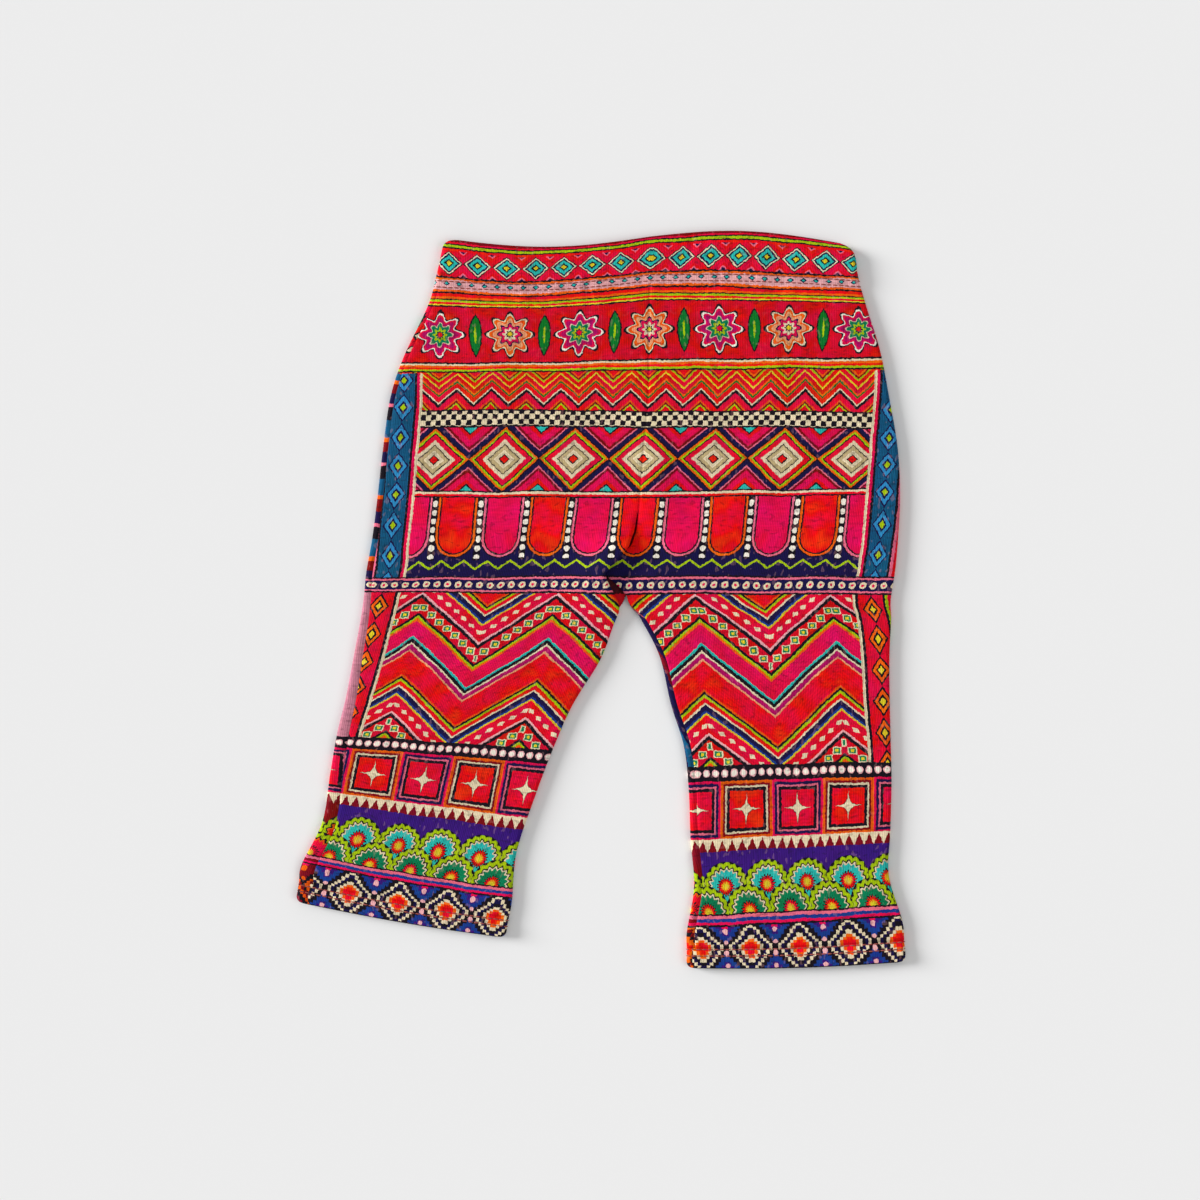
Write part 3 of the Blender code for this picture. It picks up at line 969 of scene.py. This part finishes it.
def printTiers(g, u, v, border):
    # u runs out from the centre seam, v down from the waist edge; each tier covers what is below
    # its start
    def bands(value, name, thread=0.0, **own):
        named = {**border, **own}
        span, text = named.get(name) or printTones[name]
        stops = [stop.split() for stop in text.split(", ")]
        stops = [(float(start), named.get(shade, shade)) for start, shade in stops]
        return g.bands(value, span, stops, thread)

    colour = bands(v, "casingStripes")

    def paint(shade, mask):
        nonlocal colour
        colour = g.over(colour, shade, mask)

    def lay(name, shade):
        paint(shade, v > tierStarts[name])

    def stripes(name):
        lay(name, bands(v - tierStarts[name], name))

    def row(pitch, middle):  # how far across and below the middle of the nearest motif
        return u.cell(pitch), v - middle

    def zigzag(halfWidth, slope):
        return u.fold(halfWidth) * slope

    def diamond(across, drop, halfWidth, halfHeight):
        return abs(across) / halfWidth + abs(drop) / halfHeight

    def lozenges(name, middle, halfWidth, halfHeight):
        reach = diamond(u.fold(halfWidth), v - middle, halfWidth, halfHeight)
        lay(name, bands(reach, name, thread=1.5 / halfHeight))

    def inTurn(name, reach, pitch, thread=0.0):  # every second motif has the second tones
        first, second = (bands(reach, turn + name, thread) for turn in ("first", "second"))
        return g.over(first, second, u.odd(pitch))

    def beads(name, ground, bead, pitch, middle, radius=1.7):
        reach = g.distance(*row(pitch, middle))
        lay(name, g.over(ground, bands(reach, bead), reach < radius))

    def trim(name, start):  # down the outside of the leg
        inner, middle, outer, repeat, halfKnot = 110.0, 9.2, 17.4, 28.0, 7.0
        reach = u - inner
        knot = diamond(reach - middle, v.fold(halfKnot), halfWidth=5.0, halfHeight=halfKnot)
        stripe = g.over(bands(reach, name + "Trim", 1.5), bands(knot, name + "Knot"), knot < 1.0)
        # past the trim, the border's blocks: dark on the back, partly as painted shade on the rim
        blocks = bands(v.math("WRAP", repeat, 0.0), name + "Blocks")
        paint(g.over(stripe, blocks, reach > outer), (v > start) * (u > inner))

    # waist casing
    lozenges("casingLozenges", middle=11.6, halfWidth=7.0, halfHeight=5.0)
    stripes("casingBand")
    knot = diamond(*row(pitch=6.2, middle=19.8), halfWidth=1.7, halfHeight=1.2)
    paint(bands(knot, "casingKnot"), knot < 1.0)
    # rosettes and leaves
    stripes("hipStripes")
    pitch, petals, notch, leafWidth, leafTaper = 34.0, 8.0, 0.17, 3.4, 130.0
    across, drop = row(pitch, middle=45.6)
    wave = (drop.math("ARCTAN2", across) * petals).math("COSINE") * notch + (1.0 - notch)
    rosettes = inTurn("Rosette", g.distance(across, drop) / wave, pitch, thread=1.4)
    leaf = abs((u + pitch / 2).cell(pitch)) / leafWidth + drop * drop / leafTaper
    lay("rosettes", g.over(rosettes, bands(leaf, "leaf"), leaf < 1.0))
    # zigzags, then checks
    stripes("lowHipStripes")
    reach = v - tierStarts["zigzags"] + zigzag(halfWidth=8.5, slope=0.95)
    lay("zigzags", bands(reach, "zigzags", thread=1.6))
    square, middle, halfHeight = 2.5, 89.4, 3.4
    laid = g.add("ShaderNodeCombineXYZ", {}, {0: u, 1: v, 2: 0.5})
    sockets = {"Vector": laid, "Color1": tone("cream"), "Color2": tone("black")}
    checks = g.add("ShaderNodeTexChecker", {}, {**sockets, "Scale": 1.0 / square})
    lay("checks", g.over("black", checks, abs(v - middle) < halfHeight))
    lozenges("lozenges", middle=108.7, halfWidth=17.0, halfHeight=15.1)
    # a row of tongues, with strings of beads between them
    stripes("tongueStripes")
    middle, halfLine = 161.2, 0.6
    line = abs(v - middle + zigzag(halfWidth=5.5, slope=0.7))
    lay("tongues", g.over("navy", "lime", line < halfLine))
    pitch, radius, roundFrom = 22.0, 9.9, 146.0
    halfString, stringEnd, beadPitch, beadRadius, beadEnd = 1.7, 157.0, 4.2, 1.45, 156.0
    string = (u + pitch / 2).cell(pitch)
    lay("tongues", g.over(colour, "black", (abs(string) < halfString) * (v < stringEnd)))
    bead = g.distance(string, v.cell(beadPitch))
    lay("tongues", g.over(colour, "white", (bead < beadRadius) * (v < beadEnd)))
    reach = g.distance(u.cell(pitch), (v - roundFrom).math("MAXIMUM", 0.0))
    lay("tongues", g.over(colour, inTurn("Tongue", reach, pitch), reach < radius))
    trim("upper", start=66.0)
    stripes("beads")
    beads("beads", colour, "pinkBead", pitch=5.2, middle=169.6)
    # broad chevrons down the thigh, with rows of stones and of grains
    start, repeat, halfPitch = 172.0, 62.0, 3.6
    stonesAt, stoneSize, grainsAt, grainSize = 34.9, 0.95, 23.8, 0.7
    slope = zigzag(halfWidth=33.0, slope=0.78)
    reach = (v + slope - start).math("WRAP", repeat, 0.0)
    run = (v - slope).fold(halfPitch)
    stone = diamond(run, reach - stonesAt, halfPitch, halfHeight=3.4)
    grain = diamond(run, reach - grainsAt, halfPitch, halfHeight=2.2)
    chevrons = bands(reach, "chevrons", thread=1.7)
    chevrons = g.over(chevrons, bands(stone, "stone"), stone < stoneSize)
    lay("chevrons", g.over(chevrons, "cream", grain < grainSize))
    trim("lower", start=tierStarts["chevrons"])
    # the back's dark stripes by the inner seam are partly painted shade on that rim
    if "inseam" in border:  # stripes down the inside of the thigh
        inside = (u < border["inseam"][0]) * (v > tierStarts["chevrons"])
        paint(bands(u, "inseam", thread=1.5), inside)
    # patches with stars above the hem border, between beads and teeth
    beads("beadEdging", "black", "whiteBead", pitch=4.4, middle=254.6)
    pitch, hollow, starSize, starReach = 25.0, 0.35, 3.0, 7.4
    across, drop = (abs(away) for away in row(pitch, middle=270.4))
    reach = across.math("MAXIMUM", drop)
    star = across * drop + reach * hollow
    inside = (star < starSize) * (reach < starReach)
    patches = inTurn("Patch", reach, pitch, thread=1.6)
    lay("patches", g.over(patches, bands(star, "star"), inside))
    tips = 283.0
    teeth = zigzag(halfWidth=2.4, slope=2.2) < v - tips
    lay("teeth", g.over("cream", "darkRed", teeth))
    # border above the hem: two rows of fans, the lower over the upper
    lay("fans", border["ground"])
    pitch, radius, rayCount, rayDepth = 20.0, 10.8, 18.0, 0.55
    for offset, middle, rim in ((0.0, 303.4, "upperRim"), (10.0, 313.8, "lowerRim")):
        across, drop = (u + offset).cell(pitch), v - middle
        reach = g.distance(across, drop)
        rays = (drop.math("ARCTAN2", across) * rayCount).math("SINE") * rayDepth
        fan = bands(reach + rays, "fan", thread=1.6, rim=border[rim])
        paint(fan, (reach < radius) * (v > tierStarts["fans"]))
    stripes("borderStripes")
    # stepped diamonds on the hem, with dots between them
    pitch, step, dotPitch, dotRadius = 24.0, 1.5, 5.2, 1.2
    across, drop = (abs(away) for away in row(pitch, middle=330.2))
    steps = (across / step).math("FLOOR") + (drop / step).math("FLOOR")
    dot = g.distance(pitch / 2 - across, v.cell(dotPitch))
    diamonds = g.over(bands(steps, "hemDiamonds"), border["dots"], dot < dotRadius)
    lay("hemDiamonds", diamonds)
    lay("hemEdge", "black")
    return colour


# the printed cloth's noises: the spots a metre of each, across and down, and its detail
clothNoise = {
    "wander": (26.0, 26.0, 3.0),  # the printed lines wander as if drawn and stitched by hand
    "tremble": (850.0, 850.0, 0.0),
    "fineAcross": (900.0, 210.0, 1.0),  # threads
    "fineDown": (210.0, 900.0, 1.0),
    "mottle": (130.0, 130.0, 4.0),
    "patchy": (60.0, 60.0, 1.0),
    "pale": (620.0, 330.0, 0.0),
    "dark": (330.0, 620.0, 0.0),
    "hue": (85.0, 85.0, 2.0),
}
wanderBy = {"wander": 3.0, "tremble": 0.8}  # millimetres
lanes = (36.0, 17.0)  # threads lie one way for 17 of each 36 mm down, and then the other way
# where a noise passes these, there are flecks of pale or dark ink
flecks = {"pale": 0.66, "paleIn": 0.44, "dark": 0.32, "darkIn": 0.56}
fleckInk = {"pale": 0.1, "dark": 0.3}
# how far the hue varies, the saturation, and what the value is made up of
ink = {"hue": 0.035, "saturation": 1.06, "least": 0.3, "streak": 0.66, "mottle": 0.62}
# fine upright wales of small stitches, by radians a metre and the height of each wave
knit = {"waves": (7400.0, 5200.0, 0.0), "wale": 0.5, "loop": 0.3, "sway": 1.2, "streak": 1.6}


def printedJersey(name, border):
    g = Graph(name)
    laid = g.add("ShaderNodeUVMap", {"uv_map": "print"}, {})

    def noiseOf(name, output=0):
        *spread, detail = clothNoise[name]
        place = g.vector("MULTIPLY", laid, (*spread, 0.0))
        sockets = {"Vector": place, "Scale": 1.0, "Detail": detail}
        return g.add("ShaderNodeTexNoise", {}, sockets, output)

    middle = sum(wanderBy.values()) / 2
    place = g.vector("MULTIPLY_ADD", laid, (1000.0,) * 3, (border["shift"] - middle, -middle, 0.0))
    for kind, by in wanderBy.items():
        place = g.vector("MULTIPLY_ADD", noiseOf(kind, "Color"), (by,) * 3, place)
    u, v, _ = g.split(place)
    colour = printTiers(g, u, v, border)
    # threads: short streaks of light and shade that lie along or across the tiers
    repeat, turnAt = lanes
    lie = v.math("WRAP", repeat, 0.0) > turnAt
    streak = noiseOf("fineAcross") * (1.0 - lie) + noiseOf("fineDown") * lie
    mottle, patchy = noiseOf("mottle"), noiseOf("patchy")
    pale = (noiseOf("pale") > flecks["pale"]) * (patchy > flecks["paleIn"])
    dark = (noiseOf("dark") < flecks["dark"]) * (patchy < flecks["darkIn"])
    colour = g.over(colour, "palePink", pale * fleckInk["pale"])
    colour = g.over(colour, "black", dark * fleckInk["dark"])
    settings = {
        "Color": colour,
        "Hue": 0.5 + (noiseOf("hue") - 0.5) * ink["hue"],
        "Saturation": ink["saturation"],
        "Value": ink["least"] + streak * ink["streak"] + mottle * ink["mottle"],
    }
    colour = g.add("ShaderNodeHueSaturation", {}, settings)
    du, dv, _ = g.split(g.vector("MULTIPLY", laid, knit["waves"]))
    wale = du.math("SINE")
    loop = (dv + wale * knit["sway"]).math("SINE")
    height = wale * knit["wale"] + loop * knit["loop"] + streak * knit["streak"]
    relief = g.add("ShaderNodeBump", {}, {"Strength": 0.55, "Distance": 0.00012, "Height": height})
    g.feed(g.shader, {"Base Color": colour, "Normal": relief, "Roughness": 0.78 + streak * 0.1})
    g.feed(g.shader, {"Specular IOR Level": 0.12})
    return g.material


def reverseJersey():
    # the inside of the cloth, where the print shows through dimly: dark red from the waist and red
    # on the legs. A black band just above the crotch, from 164 to 174 mm down, is painted shade
    # that makes the pocket under the tuck dark.
    tiers = ((0, "darkRed"), (164.0, "black"), (174.0, "red"))
    g = Graph("jerseyReverse")
    laid = g.add("ShaderNodeUVMap", {"uv_map": "print"}, {})
    _, v, _ = g.split(g.vector("MULTIPLY", laid, (1000.0,) * 3))
    fuzz = g.add("ShaderNodeTexNoise", {}, {"Vector": laid, "Scale": 700.0, "Detail": 2.0})
    colour = g.over(g.bands(v + fuzz * 2.0, 400.0, tiers), "darkRed", fuzz * 0.5)
    relief = g.add("ShaderNodeBump", {}, {"Strength": 0.5, "Distance": 0.0002, "Height": fuzz})
    g.feed(g.shader, {"Base Color": colour, "Normal": relief, "Roughness": 0.9 - fuzz * 0.05})
    g.feed(g.shader, {"Specular IOR Level": 0.2})
    return g.material


def sewingThread():
    dark, light = (0.20, 0.025, 0.02, 1.0), (0.36, 0.08, 0.06, 1.0)
    g = Graph("sewingThread")
    spot = g.add("ShaderNodeTexCoord", {}, {}, "Object")
    ply = g.add("ShaderNodeTexNoise", {}, {"Vector": spot, "Scale": 1800.0, "Detail": 1.0})
    colour = g.over(dark, light, ply)
    relief = g.add("ShaderNodeBump", {}, {"Strength": 0.6, "Distance": 0.0001, "Height": ply})
    g.feed(g.shader, {"Base Color": colour, "Normal": relief, "Roughness": 0.5 + ply * 0.2})
    return g.material


def plainFloor():
    floor = {"half": 3.0, "below": -0.00005, "colour": (0.8, 0.8, 0.8, 1.0)}
    surface = bmesh.new()
    bmesh.ops.create_grid(surface, x_segments=1, y_segments=1, size=floor["half"])
    bmesh.ops.translate(surface, verts=surface.verts, vec=(0.0, 0.0, floor["below"]))
    g = Graph("paleSurface")
    g.feed(g.shader, {"Base Color": floor["colour"], "Roughness": 1.0, "Specular IOR Level": 0.0})
    piece = makePiece("paleSurface", surface, [g.material])


def lightAndCamera():
    scene = bpy.context.scene
    suns = (
        {"name": "windowLight", "strength": 4.68, "angle": 23.0, "lean": 72.5, "from": 166.0},
        {"name": "fillLight", "strength": 0.75, "angle": 36.0, "lean": 48.0, "from": -20.0},
    )
    for sun in suns:
        light = bpy.data.lights.new(sun["name"], "SUN")
        light.energy = sun["strength"]
        light.angle = math.radians(sun["angle"])
        lamp = bpy.data.objects.new(sun["name"], light)
        heading, lean = math.radians(sun["from"]), math.radians(sun["lean"])
        level = Vector((math.cos(heading), math.sin(heading), 0.0)) * math.sin(lean)
        source = level + Vector((0.0, 0.0, math.cos(lean)))
        lamp.rotation_euler = source.to_track_quat("Z", "Y").to_euler()
        scene.collection.objects.link(lamp)
    world = bpy.data.worlds.new("studio")
    world.use_nodes = True
    sky = world.node_tree.nodes["Background"]
    light = {"Color": (1.0, 1.0, 1.0, 1.0), "Strength": 0.445}
    for name, value in light.items():
        sky.inputs[name].default_value = value
    scene.world = world
    scene.view_settings.view_transform = "Standard"
    scene.view_settings.look = "None"
    # straight above, and `frameWidth` wide at the height of the cloth's front
    view = {"distance": 1.2, "frameWidth": 0.5856, "centre": (-0.00024, 0.00049), "cloth": 0.003}
    camera = bpy.data.cameras.new("overhead")
    camera.lens = camera.sensor_width * view["distance"] / view["frameWidth"]
    eye = bpy.data.objects.new("overhead", camera)
    eye.location = (*view["centre"], view["distance"] + view["cloth"])
    scene.collection.objects.link(eye)
    scene.camera = eye


def main():
    plainFloor()
    lightAndCamera()
    print("floor, light and camera are set")
    for leg in (leftLeg, rightLeg):
        measureLengths(leg)
    frontPrint = printedJersey("jerseyFront", frontBorder)
    backPrint = printedJersey("jerseyBack", backBorder)
    reverse = reverseJersey()
    thread = sewingThread()
    print("materials are made")

    for side, leg in (("left", leftLeg), ("right", rightLeg)):
        for face, layer, cloth in (("back", back, backPrint), ("front", front, frontPrint)):
            name = f"{side}Leg{face.capitalize()}"
            piece = layCloth(name, legPanelRows(leg, layer), [cloth, reverse], layer)
            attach(piece, "root")
            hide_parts(f"{face}_{side}")
        print(f"{side} leg is laid")
    casing = layCloth("waistCasing", casingRows(), [frontPrint])
    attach(casing, "root")
    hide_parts("waistband")
    for side, leg in (("left", leftLeg), ("right", rightLeg)):
        prints = [frontPrint, backPrint]
        piece = layCloth(f"{side}Hem", hemRows(leg), prints, cloths=hemCloths(leg))
        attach(piece, "root")
        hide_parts(f"hem_{side}")
    print("casing and hems are turned")

    waistRings = []
    for down in waistCasing["stitchRows"]:
        edge = mix(waistCasing["edge"], jersey["edge"], ramp(down, *waistCasing["slope"]))
        pair = (down, down + stitch["rowStep"])
        rings = [casingRing(d, edge, edge - stitch["dip"]) for d in pair]
        waistRings.append((*rings, -1.0))
    hemRings = []
    for leg in (leftLeg, rightLeg):
        for away in hem["stitchRows"]:
            edge = mix(hem["edge"], jersey["edge"], ramp(away, *hem["slope"]))
            down = outseamLength - away
            pair = (down, down + stitch["rowStep"])
            rings = [hemRing(leg, d, edge, edge - stitch["dip"]) for d in pair]
            hemRings.append((*rings, -1.0 if leg is leftLeg else 1.0))
    for name, rings in (("waistStitching", waistRings), ("hemStitching", hemRings)):
        piece = makeThreads(name, rings, thread)
        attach(piece, "root")
    print("stitching is sewn")


main()
